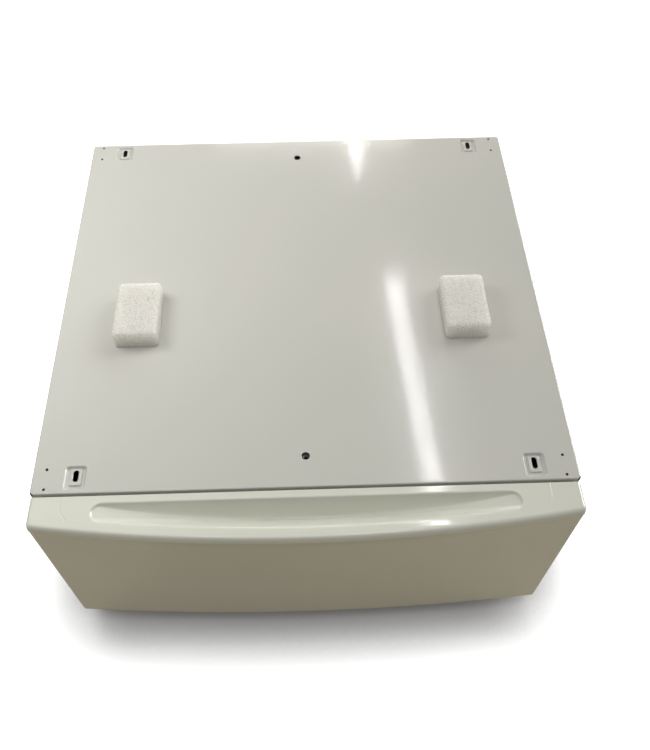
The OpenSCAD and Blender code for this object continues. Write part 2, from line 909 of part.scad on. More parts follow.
// The space of the hand scoop, grown by a wall when grow is above zero
module scoop(grow, z_top) {
    z_low = z_ledge - scoop_depth - grow - 1;
    r_rim = face_r - scoop_rim;
    reach = 60;
    front_shift = [sin(scoop_front_slope), -cos(scoop_front_slope)] * grow;
    y_rim = scoop_y + grow / cos(scoop_back_lean);
    lean = tan(scoop_back_lean);
    intersection() {
        union() {
            intersection() {
                block([-scoop_half, scoop_half], [y_crest, scoop_y + grow], [z_low, z_top]);
                translate([0, face_y, z_low])
                    cylinder(h = z_top - z_low, r = r_rim + grow, $fn = 1440);
            }
            for (side = [LEFT, RIGHT])
                translate([side * scoop_half, scoop_y - scoop_end_r, z_low])
                    cylinder(h = z_top - z_low, r = scoop_end_r + grow);
        }
        bar_y(y_crest, y_front_back, 0, z_ledge - scoop_depth + scoop_floor_r,
              scoop_floor_r + grow, $fn = 720);
        along_face()
            translate([r_rim, z_ledge] + front_shift)
                rotate(scoop_front_slope)
                    translate([-2 * reach, 0])
                        square([4 * reach, 2 * reach]);
        rotate([90, 0, 90])
            linear_extrude(2 * (scoop_half + scoop_end_r + 2 * grow), center = true)
                polygon([[y_rim + lean * reach, z_ledge + reach], [y_rim - lean * reach, z_ledge - reach],
                         [y_crest - reach, z_ledge - reach], [y_crest - reach, z_ledge + reach]]);
    }
}

// Groove of the moulded line round one end of the ledge
module trim_line() {
    translate([trim_x, trim_y, z_ledge])
        rotate([0, 0, -90])
            rotate_extrude(angle = 90)
                translate([trim_arc_r, 0])
                    circle(trim_groove_r, $fn = 24);
    bar_y(trim_y, y_front_back + 1, trim_x + trim_arc_r, z_ledge, trim_groove_r);
}

// Where the face lies at a distance from the centre line
function face_at(x) = face_y - sqrt(face_r * face_r - x * x);

// Screw bosses and the stiffening ribs that run down through them
module front_bosses() {
    z = [front_clear + front_wall / 2, z_ledge - scoop_depth - front_wall];
    for (spot = boss_spots)
        bar_y(face_at(spot[0]) + front_wall / 2, y_front_back - backing_t, spot[0], spot[1], boss_d / 2);
    for (x = boss_x)
        block([x - front_rib_t / 2, x + front_rib_t / 2],
              [face_at(x) + front_wall / 2, face_at(x) + front_wall + front_rib_reach], z);
}

module drawer_front() {
    y_hole = y_front_back - backing_t - screw_hole_l;
    color(moulding)
    difference() {
        union() {
            difference() {
                front_body(0);
                front_body(front_wall);
                block([-front_half + front_wall, front_half - front_wall],
                      [y_front_back - backing_t - EPS, y_front_back + 1],
                      [front_clear + front_wall, z_ledge - front_wall]);
            }
            scoop(front_wall, z_ledge - front_wall / 2);
            front_bosses();
        }
        scoop(0, z_ledge + 5);
        for (side = [LEFT, RIGHT])
            on_side(side)
                trim_line();
        for (spot = boss_spots)
            bar_y(y_hole, y_front_back, spot[0], spot[1], front_screw_d / 2 + thread_gap);
    }
}

module front_backing() {
    half = front_half - front_wall - slip_gap;
    z0 = front_clear + front_wall + slip_gap;
    z1 = z_ledge - front_wall - slip_gap;
    color(bin_grey)
    difference() {
        block([-half, half], [y_front_back - backing_t, y_front_back], [z0, z1]);
        for (spot = boss_spots)
            bar_y(y_front_back - 2 * backing_t, y_front_back + backing_t, spot[0], spot[1],
                  front_screw_d / 2 + thread_gap);
    }
}

module front_screws() {
    head_h = front_screw_d / 2;
    y_tip = y_front_back - backing_t - front_screw_l;
    color(zinc)
    for (spot = boss_spots) {
        bar_y(y_tip, y_bin + EPS, spot[0], spot[1], front_screw_d / 2);
        bar_y(y_bin, y_bin + head_h, spot[0], spot[1], front_screw_d);
    }
}

module drawer_bumpers() {
    x = side_in - front_flange_w / 2;
    color(rubber)
    for (side = [LEFT, RIGHT])
        for (z = [bin_clear + bumper_rise, z_bin_top - bumper_drop])
            bar_y(y_front_back, y_cab - slip_gap, side * x, z, bumper_d / 2);
}

// ---------- bin ----------

module bin_front() {
    color(bin_grey)
    difference() {
        block([-bin_half, bin_half], [y_front_back, y_bin], [bin_clear, z_bin_top]);
        for (spot = boss_spots)
            bar_y(y_front_back - bin_t, y_bin + bin_t, spot[0], spot[1],
                  front_screw_d / 2 + thread_gap);
    }
}

// Side wall with a hem rolled outwards
module bin_side() {
    x_hem = bin_half + hem_w;
    color(bin_grey)
    difference() {
        union() {
            block([bin_half - bin_t, bin_half], [y_bin, y_bin_end], [bin_clear, z_bin_top]);
            block([bin_half - bin_t, x_hem], [y_bin, y_bin_end], [z_bin_top - bin_t, z_bin_top]);
            block([x_hem - bin_t, x_hem], [y_bin, y_bin_end], [z_bin_top - hem_h, z_bin_top]);
        }
        for (y = rivet_y)
            bar_x(bin_half - 2 * bin_t, bin_half + bin_t, y, slide_z, rivet_d / 2 + thread_gap);
    }
}

module bin_back() {
    x = [-bin_half, bin_half];
    y_hem = y_bin_end + hem_w;
    color(bin_grey) {
        block(x, [y_bin_end, y_bin_end + bin_t], [bin_clear, z_bin_top]);
        block(x, [y_bin_end, y_hem], [z_bin_top - bin_t, z_bin_top]);
        block(x, [y_hem - bin_t, y_hem], [z_bin_top - hem_h, z_bin_top]);
    }
}

// Floor with upturned side flanges and pressed ridges
module bin_bottom() {
    half = bin_half - bin_t;
    y = [y_bin, y_bin_end];
    y_ridge = [y_bin + ridge_end_gap, y_bin_end - ridge_end_gap];
    pitch = 2 * half / (ridge_count + 1);
    color(bin_grey)
    difference() {
        union() {
            block([-half, half], y, [bin_clear, bin_clear + bin_t]);
            for (side = [LEFT, RIGHT])
                on_side(side)
                    block([half - bin_t, half], y, [bin_clear, bin_clear + bin_flange]);
            for (i = [1 : ridge_count])
                bar_y(y_ridge[0], y_ridge[1], -half + i * pitch, bin_clear, ridge_r);
        }
        for (i = [1 : ridge_count])
            bar_y(y_ridge[0] + bin_t, y_ridge[1] - bin_t, -half + i * pitch, bin_clear,
                  ridge_r - bin_t);
        block([-half, half], y, [bin_clear - ridge_r, bin_clear]);
    }
}

// ---------- small parts ----------

module rear_screws() {
    color(zinc)
    for (side = [LEFT, RIGHT])
        for (z = rear_screw_z) {
            x = side * (side_in - rear_flange_w / 2);
            bar_y(y_back_in, y_back, x, z, rear_screw_d / 2 - thread_gap);
            bar_y(y_back, y_back + screw_head_h, x, z, rear_screw_d);
        }
}

module foam_pad(side) {
    y = y_edge + foam_inset;
    color(foam_white)
        block([side * foam_x - foam_w / 2, side * foam_x + foam_w / 2], [y - foam_l / 2, y + foam_l / 2],
              [body_h, body_h + foam_h]);
}

// ---------- nodes ----------

top_panel();
on_side(LEFT) side_panel();  // side_panel_left
on_side(RIGHT) side_panel();  // side_panel_right
rear_panel();
top_rail(FRONT);  // front_top_rail
top_rail(REAR);  // rear_top_rail
top_rib(-rib_x);  // top_rib_left
top_rib_center();
top_rib(rib_x);  // top_rib_right
center_weld_nuts();
cross_base_rail(FRONT);  // front_base_rail
cross_base_rail(REAR);  // rear_base_rail
on_side(LEFT) side_base_rail();  // side_base_rail_left
on_side(RIGHT) side_base_rail();  // side_base_rail_right
leg_bracket([LEFT, FRONT]);  // leg_bracket_front_left
leg_bracket([RIGHT, FRONT]);  // leg_bracket_front_right
leg_bracket([LEFT, REAR]);  // leg_bracket_rear_left
leg_bracket([RIGHT, REAR]);  // leg_bracket_rear_right
leg_nuts(z_rail, weld_nut_h);  // leg_weld_nuts
leg_nuts(z_lock, lock_nut_h);  // leg_lock_nuts
leg_stud([LEFT, FRONT]);  // leg_stud_front_left
leg_stud([RIGHT, FRONT]);  // leg_stud_front_right
leg_stud([LEFT, REAR]);  // leg_stud_rear_left
leg_stud([RIGHT, REAR]);  // leg_stud_rear_right
foot_pad([LEFT, FRONT]);  // foot_pad_front_left
foot_pad([RIGHT, FRONT]);  // foot_pad_front_right
foot_pad([LEFT, REAR]);  // foot_pad_rear_left
foot_pad([RIGHT, REAR]);  // foot_pad_rear_right
on_side(LEFT) slide_support();  // slide_support_left
on_side(RIGHT) slide_support();  // slide_support_right
on_side(LEFT) slide_outer();  // slide_outer_left
on_side(RIGHT) slide_outer();  // slide_outer_right
cabinet_rivets();
on_side(LEFT) slide_middle();  // slide_middle_left
on_side(RIGHT) slide_middle();  // slide_middle_right
on_side(LEFT) outer_cage();  // outer_cage_left
on_side(RIGHT) outer_cage();  // outer_cage_right
on_side(LEFT) balls(x_outer_cage, outer_race_mid);  // outer_balls_left
on_side(RIGHT) balls(x_outer_cage, outer_race_mid);  // outer_balls_right
on_side(LEFT) inner_cage();  // inner_cage_left
on_side(RIGHT) inner_cage();  // inner_cage_right
on_side(LEFT) balls(x_inner_cage, inner_race_mid);  // inner_balls_left
on_side(RIGHT) balls(x_inner_cage, inner_race_mid);  // inner_balls_right
on_side(LEFT) slide_inner();  // slide_inner_left
on_side(RIGHT) slide_inner();  // slide_inner_right
drawer_rivets();
drawer_front();
front_backing();
bin_front();
bin_back();
on_side(LEFT) bin_side();  // bin_left
on_side(RIGHT) bin_side();  // bin_right
bin_bottom();
front_screws();
drawer_bumpers();
rear_screws();
foam_pad(LEFT);  // foam_pad_left
foam_pad(RIGHT);  // foam_pad_right
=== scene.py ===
"""Laundry pedestal with a storage drawer: finishes for its steel, and the pressed top panel,
the moulded drawer front and the foam pads modelled over their plain solids.

Shapes are worked out in millimetres, finishes and lights in metres. The front faces -Y."""

import json
import math

import bpy
from mathutils import Matrix, Vector


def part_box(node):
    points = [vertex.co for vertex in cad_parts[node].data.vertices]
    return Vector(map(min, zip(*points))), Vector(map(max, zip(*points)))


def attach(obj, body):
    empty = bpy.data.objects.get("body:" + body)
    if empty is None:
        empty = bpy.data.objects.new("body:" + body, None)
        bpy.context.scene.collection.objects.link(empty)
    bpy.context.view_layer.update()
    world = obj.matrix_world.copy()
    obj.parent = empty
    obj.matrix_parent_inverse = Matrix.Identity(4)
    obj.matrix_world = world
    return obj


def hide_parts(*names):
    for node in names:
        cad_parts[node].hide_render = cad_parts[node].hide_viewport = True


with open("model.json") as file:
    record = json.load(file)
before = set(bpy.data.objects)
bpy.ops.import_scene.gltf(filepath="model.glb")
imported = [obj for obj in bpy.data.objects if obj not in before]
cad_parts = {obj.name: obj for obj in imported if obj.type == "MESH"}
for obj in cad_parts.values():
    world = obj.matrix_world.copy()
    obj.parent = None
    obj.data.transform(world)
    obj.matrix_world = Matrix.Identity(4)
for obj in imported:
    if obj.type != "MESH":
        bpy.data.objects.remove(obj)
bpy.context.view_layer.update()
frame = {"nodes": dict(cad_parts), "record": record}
nodes = frame["nodes"]

MM = 0.001
SIDES = (-1, 1)


# ---------- shader maths ----------


class Tone:
    """A value in a finish's node tree. Expressions on it add their Math nodes."""

    def __init__(self, finish, socket):
        self.finish = finish
        self.socket = socket

    def maths(self, operation, other, swapped=False):
        pair = (other, self) if swapped else (self, other)
        return self.finish.node("Math", {"operation": operation}, dict(enumerate(pair)))

    def output(self, name):
        """Another output of the node that this value comes from."""
        return Tone(self.finish, self.socket.node.outputs[name])

    def __add__(self, other):
        return self.maths("ADD", other)

    __radd__ = __add__

    def __mul__(self, other):
        return self.maths("MULTIPLY", other)

    __rmul__ = __mul__

    def __sub__(self, other):
        return self.maths("SUBTRACT", other)

    def __rsub__(self, other):
        return self.maths("SUBTRACT", other, swapped=True)

    def __pow__(self, other):
        return self.maths("POWER", other)

    def __abs__(self):
        return self.finish.node("Math", {"operation": "ABSOLUTE"}, {0: self})


class Finish:
    """One material. Its node() method adds any node: type, settings, socket values, output."""

    def __init__(self, name):
        self.material = bpy.data.materials.new(name)
        self.material.use_nodes = True
        self.tree = self.material.node_tree
        self.tree.nodes.clear()
        self.where = self.node("TexCoord", out="Object")

    def node(self, kind, settings=None, sockets=None, out=0):
        made = self.tree.nodes.new("ShaderNode" + kind)
        for name, value in (settings or {}).items():
            setattr(made, name, value)
        for key, value in (sockets or {}).items():
            if isinstance(value, Tone):
                self.tree.links.new(value.socket, made.inputs[key])
            else:
                made.inputs[key].default_value = value
        return Tone(self, made.outputs[out]) if len(made.outputs) else made

    def noise(self, scale, detail, roughness=0.5, stretch=(1, 1, 1)):
        place = self.node("Mapping", {}, {"Vector": self.where, "Scale": stretch})
        return self.node("TexNoise", {}, {"Vector": place, "Scale": scale, "Detail": detail,
                                          "Roughness": roughness})

    def band(self, value, low, high, to_low=0.0, to_high=1.0):
        """Maps low..high to to_low..to_high, smoothly and without going past them."""
        return self.node("MapRange", {"interpolation_type": "SMOOTHSTEP"},
                         {"Value": value, "From Min": low, "From Max": high,
                          "To Min": to_low, "To Max": to_high})

    def colour_mix(self, factor, first, second):
        return self.node("Mix", {"data_type": "RGBA"}, {0: factor, 6: first, 7: second}, out=2)

    def bump(self, height, depth, strength=1.0, over=None):
        """A height between 0 and 1 becomes relief of that depth in metres."""
        sockets = {"Height": height, "Distance": depth, "Strength": strength}
        if over is not None:
            sockets["Normal"] = over
        return self.node("Bump", {}, sockets)

    def surface(self, colour, roughness, normal, **constants):
        """Ends the finish. A constant fills the socket of its name: specular_ior_level, say."""
        sockets = {"Base Color": colour, "Roughness": roughness, "Normal": normal}
        for name, value in constants.items():
            sockets[name.replace("_", " ").title().replace("Ior", "IOR")] = value
        shader = self.node("BsdfPrincipled", {}, sockets)
        self.node("OutputMaterial", {}, {"Surface": shader})
        return self.material


def rgb(red, green, blue):
    return (red, green, blue, 1.0)


# ---------- finishes ----------

# Relief cuts across the top panel's front corners, where the enamel is painted near black as
# painted shade of the open slits. Each lies at 45 degrees.
CUT_LINE = 0.6309
CUT_MIDDLE = 0.0515
CUT_HALF_WIDTH = (0.0011, 0.0014)
CUT_HALF_LENGTH = (0.0042, 0.0048)
CUT_FLOOR = (0.3400, 0.3405)


def slit_shade_mask(f):
    """1 where the relief cuts are painted near black as painted shade, 0 elsewhere."""
    x = f.node("SeparateXYZ", {}, {"Vector": f.where}, out="X")
    y = x.output("Y")
    z = x.output("Z")
    across = f.band(abs(abs(x) - y - CUT_LINE), *CUT_HALF_WIDTH, 1.0, 0.0)
    along = f.band(abs(abs(x) + y - CUT_MIDDLE), *CUT_HALF_LENGTH, 1.0, 0.0)
    return across * along * f.band(z, *CUT_FLOOR)


def enamel_finish():
    """Gloss powder enamel on pressed steel, with orange peel, and painted shade over the relief
    cuts at the front corners.
    """
    f = Finish("white_enamel")
    warm = f.band(f.noise(1.7, 2.0), 0.35, 0.65)
    enamel = f.colour_mix(warm, rgb(0.560, 0.562, 0.520), rgb(0.585, 0.577, 0.530))
    # Near black over the relief cuts: painted shade of the open slits.
    colour = f.colour_mix(slit_shade_mask(f), enamel, rgb(0.02, 0.015, 0.012))
    gloss = f.band(f.noise(620.0, 0.0), 0.44, 0.56, 0.035, 0.17)
    peel = f.bump(f.noise(560.0, 0.0), 0.00003)
    ripple = f.bump(f.noise(95.0, 1.0), 0.00002, 0.5, over=peel)
    return f.surface(colour, gloss, ripple, specular_ior_level=0.5)


def moulded_finish():
    """Gloss moulded plastic of the drawer front."""
    f = Finish("moulded_white")
    drift = f.band(f.noise(3.1, 2.0), 0.3, 0.7)
    colour = f.colour_mix(drift, rgb(0.680, 0.694, 0.612), rgb(0.712, 0.716, 0.638))
    gloss = f.band(f.noise(20.0, 3.0), 0.3, 0.7, 0.07, 0.12)
    grain = f.bump(f.noise(900.0, 1.0), 0.00002, 0.4)
    flow = f.bump(f.noise(14.0, 2.0, 0.5, (1, 1, 3)), 0.0004, 0.25, over=grain)
    return f.surface(colour, gloss, flow, specular_ior_level=0.5)


def galvanised_finish():
    """Hot-dip galvanised sheet with its crystal spangle."""
    f = Finish("galvanised_steel")
    crystals = f.node("TexVoronoi", {}, {"Vector": f.where, "Scale": 140.0}, out="Color")
    shade = f.node("SeparateColor", {}, {"Color": crystals})
    drift = f.noise(12.0, 3.0)
    colour = f.colour_mix(shade * 0.7 + drift * 0.3, rgb(0.50, 0.51, 0.52), rgb(0.70, 0.71, 0.72))
    spangle = f.bump(shade, 0.00002, 0.5)
    scratch = f.bump(f.noise(220.0, 2.0, 0.6, (0.2, 1, 1)), 0.00004, 0.4, over=spangle)
    return f.surface(colour, f.band(shade, 0.0, 1.0, 0.32, 0.50), scratch, metallic=0.9)


def zinc_finish():
    """Bright zinc plate with a faint rainbow and fine drawing lines."""
    f = Finish("zinc_plate")
    tint = f.band(f.noise(28.0, 3.0), 0.35, 0.65)
    colour = f.colour_mix(tint, rgb(0.66, 0.67, 0.70), rgb(0.73, 0.71, 0.66))
    lines = f.noise(160.0, 3.0, 0.6, (1, 0.06, 1))
    gloss = f.band(lines, 0.3, 0.7, 0.24, 0.38)
    return f.surface(colour, gloss, f.bump(lines, 0.00003, 0.5), metallic=1.0)


def bin_finish():
    """Pale grey baked paint with a fine texture."""
    f = Finish("painted_bin")
    drift = f.band(f.noise(4.0, 3.0), 0.3, 0.7)
    colour = f.colour_mix(drift, rgb(0.56, 0.57, 0.57), rgb(0.60, 0.61, 0.605))
    texture = f.noise(700.0, 2.0)
    gloss = f.band(texture, 0.3, 0.7, 0.38, 0.5)
    return f.surface(colour, gloss, f.bump(texture, 0.00005, 0.6))


def rubber_finish():
    """Black rubber with some dust on it."""
    f = Finish("black_rubber")
    dust = f.band(f.noise(60.0, 4.0), 0.45, 0.75)
    colour = f.colour_mix(dust, rgb(0.020, 0.020, 0.021), rgb(0.055, 0.053, 0.050))
    gloss = f.band(dust, 0.0, 1.0, 0.62, 0.82)
    normal = f.bump(f.noise(500.0, 2.0), 0.00008, 0.6)
    return f.surface(colour, gloss, normal, specular_ior_level=0.35)


def foam_finish():
    """Expanded foam: beads a few millimetres across, pressed together, with a soft sheen, painted
    highlight and shade on the beads and a faint painted glow.
    """
    f = Finish("white_foam")
    beads = f.node("TexVoronoi", {"feature": "DISTANCE_TO_EDGE"},
                   {"Vector": f.where, "Scale": 330.0}, out="Distance")
    seam_dent_and_shade = f.band(beads, 0.0, 0.16)
    drift = f.noise(240.0, 3.0)
    # Darker along the bead seams, lighter in the bead middles: painted shade and painted
    # highlight over the real bead pattern, with tone that differs at random.
    colour = f.colour_mix(seam_dent_and_shade * 0.5 + drift * 0.5,
                          rgb(0.38, 0.366, 0.325), rgb(0.74, 0.725, 0.685))
    dented = f.bump(seam_dent_and_shade, 0.0006, 0.7)
    pebbled = f.bump(f.noise(1400.0, 2.0), 0.0003, 0.5, over=dented)
    # The faint warm emission is a painted glow that lightens the pads' shaded faces.
    return f.surface(colour, f.band(drift, 0.3, 0.7, 0.5, 0.68), pebbled, specular_ior_level=0.4,
                     subsurface_weight=1.0, subsurface_radius=(0.055, 0.052, 0.048),
                     subsurface_scale=1.0, emission_color=rgb(1.0, 0.97, 0.90),
                     emission_strength=0.10)


FINISHES = {
    "white_enamel": enamel_finish(),
    "moulded_white": moulded_finish(),
    "galvanised_steel": galvanised_finish(),
    "zinc_plate": zinc_finish(),
    "painted_bin": bin_finish(),
    "black_rubber": rubber_finish(),
    "white_foam": foam_finish(),
}


def coat(piece, finish):
    piece.data.materials.clear()
    piece.data.materials.append(FINISHES[finish])


for part in frame["record"]["subparts"]:
    coat(nodes[part["node"]], part["material_slot"])


# ---------- modelling ----------

MERGE = 0.00001


def nothing_selected():
    """Leaves edit mode and deselects every object."""
    if bpy.context.object and bpy.context.object.mode != "OBJECT":
        bpy.ops.object.mode_set(mode="OBJECT")
    bpy.ops.object.select_all(action="DESELECT")


def select_only(piece):
    nothing_selected()
    bpy.context.view_layer.objects.active = piece
    piece.select_set(True)


def new_piece(name):
    """Names the primitive that was just added and puts its place into its mesh."""
    piece = bpy.context.object
    piece.name = name
    piece.data.name = name
    bpy.ops.object.transform_apply(location=True, rotation=True, scale=True)
    return piece


def formed_sheet(name, columns, rows, place):
    """A grid whose corner at each column and row is moved to place(column, row)."""
    nothing_selected()
    bpy.ops.mesh.primitive_grid_add(x_subdivisions=columns, y_subdivisions=rows, size=1.0)
    sheet = new_piece(name)
    for vertex in sheet.data.vertices:
        column = round((vertex.co.x + 0.5) * columns)
        row = round((vertex.co.y + 0.5) * rows)
        vertex.co = Vector(place(column, row)) * MM
    return sheet


def pick(piece, mode, wanted):
    """In edit mode, selects the vertices, edges or faces whose place and normal are wanted."""
    select_only(piece)
    bpy.ops.object.mode_set(mode="EDIT")
    bpy.ops.mesh.select_mode(type=mode)
    bpy.ops.mesh.select_all(action="DESELECT")
    bpy.ops.object.mode_set(mode="OBJECT")
    mesh = piece.data
    if mode == "VERT":
        for vertex in mesh.vertices:
            vertex.select = wanted(vertex.co / MM)
    elif mode == "EDGE":
        for edge in mesh.edges:
            ends = [mesh.vertices[i].co / MM for i in edge.vertices]
            edge.select = wanted(ends[0], ends[1])
    else:
        for face in mesh.polygons:
            face.select = wanted(face.center / MM, face.normal)
    bpy.ops.object.mode_set(mode="EDIT")


def close_seam(sheet):
    """Joins the first and last column of a sheet that was laid out as a ring."""
    pick(sheet, "VERT", lambda p: True)
    bpy.ops.mesh.remove_doubles(threshold=MERGE)
    nothing_selected()


def turn_up(shell, face):
    """Turns a shell over if this face, which lies on its top, points down."""
    if face.normal.z < 0:
        pick(shell, "FACE", lambda p, n: True)
        bpy.ops.mesh.flip_normals()


def modify(piece, kind, **settings):
    select_only(piece)
    modifier = piece.modifiers.new(kind.lower(), kind)
    for name, value in settings.items():
        setattr(modifier, name, value)
    bpy.ops.object.modifier_apply(modifier=modifier.name)


def smooth(piece, degrees):
    select_only(piece)
    bpy.ops.object.shade_smooth_by_angle(angle=math.radians(degrees))


def soft_step(value):
    """0 below 0, 1 above 1, and a smooth rise between."""
    t = min(1.0, max(0.0, value))
    return t * t * (3 - 2 * t)


def soft_min(a, b, blend):
    """The smaller of two heights, rounded over where they are closer than blend."""
    h = max(blend - abs(a - b), 0.0) / blend
    return min(a, b) - h * h * blend / 4


def spread(low, high, count):
    """count + 1 places from low to high."""
    return [low + (high - low) * i / count for i in range(count + 1)]


def crowded(t):
    """A place from 0 to 1 that moves more slowly near both ends."""
    return 0.5 - 0.5 * math.cos(math.pi * t) * 0.35 - 0.65 * (0.5 - t)


def bent(t, first, second, third, fourth):
    """A point on a curve from first to fourth that starts towards second and ends from third."""
    shares = ((1 - t) ** 3, 3 * t * (1 - t) ** 2, 3 * t * t * (1 - t), t ** 3)
    points = (first, second, third, fourth)
    return tuple(sum(share * point[i] for share, point in zip(shares, points)) for i in (0, 1))


# ---------- moulded drawer front ----------

Y_BACK = -294.0
Y_CORNER = -333.7
Z_TOP = 343.0
Z_LOW = 42.0
HALF = 342.0
BOW_TOP = 26.5
BOW_LOW = 14.6
FACE_R = (HALF ** 2 + BOW_TOP ** 2) / (2 * BOW_TOP)
SHELL = 3.0
TOE = 6.0
CORNER = 5.0
CAP_INSET = CORNER + 0.35
SAME_SPOT = 0.004

# The section's front edge, as millimetres behind the face and below the ledge
NOSE = 6.8
NOSE_TALL = 12.6
LAND = (12.5, NOSE + 1.2, NOSE + 0.3)
NOSE_CURVE = ((NOSE, 0.0), (2.2, 0.0), (-1.05, 4.4), (-1.05, 9.6))
FILLET_CURVE = ((-1.05, 9.6), (-1.05, 11.2), (-0.1, 11.6), (0.0, NOSE_TALL))

# The hand scoop: a straight back wall, a front wall that follows the face, and an arched floor
SCOOP_Y = -304.0
SCOOP_RIM = 17.0
SCOOP_HALF = 251.5
SCOOP_DEEP = 28.0
SCOOP_RISE = 23.5
SCOOP_FLOOR_R = (SCOOP_HALF ** 2 + SCOOP_RISE ** 2) / (2 * SCOOP_RISE)
SCOOP_FLOOR_HALF = 300.0
SCOOP_FRONT_SLOPE = math.tan(math.radians(51))
SCOOP_BACK_LEAN = math.tan(math.radians(27))
SCOOP_END = 13.0
SCOOP_END_NEAR = 20.0
SCOOP_END_SLOPE = 2.4

# The fine moulded line round each end of the scoop
TRIM_X = 275.4
TRIM_R = 28.3
TRIM_DEEP = 0.4
TRIM_HALF = 1.0

# Places across the front: from, to, steps. They are close together at the scoop's ends.
COLUMN_STEPS = ((0, 240, 80), (240, 276, 36), (276, 308, 56), (308, HALF - CORNER, 10))


def bow_share(x):
    """1 at the crest of the bowed face, 0 at its ends."""
    flat = math.sqrt(FACE_R ** 2 - HALF ** 2)
    return (math.sqrt(max(0.0, FACE_R ** 2 - min(abs(x), HALF) ** 2)) - flat) / BOW_TOP


def face_y(x, z):
    """The face, whose bow grows from its foot to its top."""
    bow = BOW_LOW + (BOW_TOP - BOW_LOW) * (z - Z_LOW) / (Z_TOP - Z_LOW)
    return Y_CORNER - bow * bow_share(x)


def scoop_depth(x, y):
    """How far the hand scoop lies below the ledge."""
    ax = abs(x)
    arch = math.sqrt(SCOOP_FLOOR_R ** 2 - min(ax, SCOOP_FLOOR_HALF) ** 2)
    floor = SCOOP_DEEP - (SCOOP_FLOOR_R - arch)
    front = (y - (face_y(x, Z_TOP) + SCOOP_RIM)) * SCOOP_FRONT_SLOPE
    back = (SCOOP_Y - y) / SCOOP_BACK_LEAN
    depth = soft_min(soft_min(front, back, 6.0), floor, 5.0)
    if ax > SCOOP_HALF - SCOOP_END_NEAR:
        reach = 0.0
        if ax > SCOOP_HALF:
            reach = math.hypot(ax - SCOOP_HALF, y - (SCOOP_Y - SCOOP_END))
        depth = soft_min(depth, (SCOOP_END - reach) * SCOOP_END_SLOPE, 2.0)
    depth = -soft_min(-depth, 0.0, 2.4)
    return max(depth, 0.0)


def trim_depth(x, y):
    """How far the fine moulded line lies below the ledge: two arcs that run on to the back."""
    ax = abs(x)
    if y > SCOOP_Y:
        away = abs(ax - (TRIM_X + TRIM_R))
    elif ax > TRIM_X - 1:
        away = abs(math.hypot(ax - TRIM_X, y - SCOOP_Y) - TRIM_R)
    else:
        return 0.0
    return TRIM_DEEP * (1 - soft_step(away / TRIM_HALF))


def front_rows():
    """Places down the section, from the back of the ledge over the nose to under the foot."""
    rows = [("back", y) for y in spread(Y_BACK, SCOOP_Y, 8)[:-1]]
    rows += [("scoop", crowded(t)) for t in spread(0, 1, 40)]
    rows += [("land", behind) for behind in LAND]
    rows += [("nose", t) for t in spread(0, 1, 12)]
    rows += [("fillet", t) for t in spread(0, 1, 8)[1:]]
    rows += [("face", z) for z in spread(Z_TOP - NOSE_TALL, Z_LOW + TOE, 16)[1:]]
    rows += [("toe", degrees) for degrees in spread(0, 90, 8)[1:]]
    rows += [("under", share) for share in spread(0, 1, 5)[1:]]
    return rows


def front_columns():
    """Places across the front, with the inset of the whole section that rounds its corners."""
    right = [(0.0, 0.0)]
    for low, high, steps in COLUMN_STEPS:
        right += [(x, 0.0) for x in spread(low, high, steps)[1:]]
    for degrees in spread(0, 90, 9)[1:]:
        turn = math.radians(degrees)
        right.append((HALF - CORNER + CORNER * math.sin(turn), CORNER * (1 - math.cos(turn))))
    right.append((HALF, CAP_INSET))
    return [(-x, inset) for x, inset in reversed(right[1:])] + right


def front_point(column, row):
    x, inset = column
    kind, at = row
    top = face_y(x, Z_TOP - NOSE_TALL)
    if kind == "back":
        return x, at, Z_TOP - inset - trim_depth(x, at)
    if kind == "scoop":
        y = SCOOP_Y + (top + SCOOP_RIM - 1.5 - SCOOP_Y) * at
        return x, y, Z_TOP - inset - (scoop_depth(x, y) + trim_depth(x, y))
    if kind == "land":
        return x, top + at, Z_TOP - inset
    if kind in ("nose", "fillet"):
        behind, drop = bent(at, *(NOSE_CURVE if kind == "nose" else FILLET_CURVE))
        return (x, top + NOSE - (NOSE - inset) * (1 - behind / NOSE),
                Z_TOP - NOSE_TALL + (NOSE_TALL - inset) * (1 - drop / NOSE_TALL))
    if kind == "face":
        return x, face_y(x, at) + inset, at
    foot = face_y(x, Z_LOW + TOE) + TOE
    if kind == "toe":
        turn = math.radians(at)
        r = TOE - inset
        return x, foot - r * math.cos(turn), Z_LOW + TOE - r * math.sin(turn)
    return x, foot + (Y_BACK - foot) * at, Z_LOW + inset


def drawer_front():
    """A shell, open towards the drawer, formed from a sheet and closed at both ends."""
    columns = front_columns()
    rows = front_rows()
    front = formed_sheet("moulded_drawer_front", len(columns) - 1, len(rows) - 1,
                         lambda column, row: front_point(columns[column], rows[row]))
    rim = [front_point((HALF, CAP_INSET), row)[1:] for row in rows]
    for side in SIDES:
        pick(front, "VERT", lambda p: p.x * side > HALF - 0.01 and any(
            abs(y - p.y) < SAME_SPOT and abs(z - p.z) < SAME_SPOT for y, z in rim))
        bpy.ops.mesh.edge_face_add()
    bpy.ops.mesh.select_all(action="SELECT")
    bpy.ops.mesh.normals_make_consistent(inside=False)
    nothing_selected()
    on_ledge = Vector((0, -298, Z_TOP))
    turn_up(front, min(front.data.polygons,
                       key=lambda face: (face.center / MM - on_ledge).length))
    modify(front, "SOLIDIFY", thickness=SHELL * MM, offset=-1.0, use_even_offset=False)
    smooth(front, 40)
    coat(front, "moulded_white")
    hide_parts("drawer_front")
    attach(front, "drawer")


# ---------- pressed top panel ----------

PANEL_HALF = 343.0
PANEL_FRONT = -291.0
PANEL_REAR = 361.0
PANEL_TOP = 345.0
SKIRT_LOW = 319.0
SHEET = 1.0
FOLD = 1.9
CORNER_R = 3.5
RIM = 0.3

SLOT_X = 289.0
SLOT_BEHIND = 2.0
SLOT_R = 3.4
SLOT_STRAIGHT = 4.7
POCKET_ROWS = (-268.0, 339.5)
POCKET_RAYS = 128
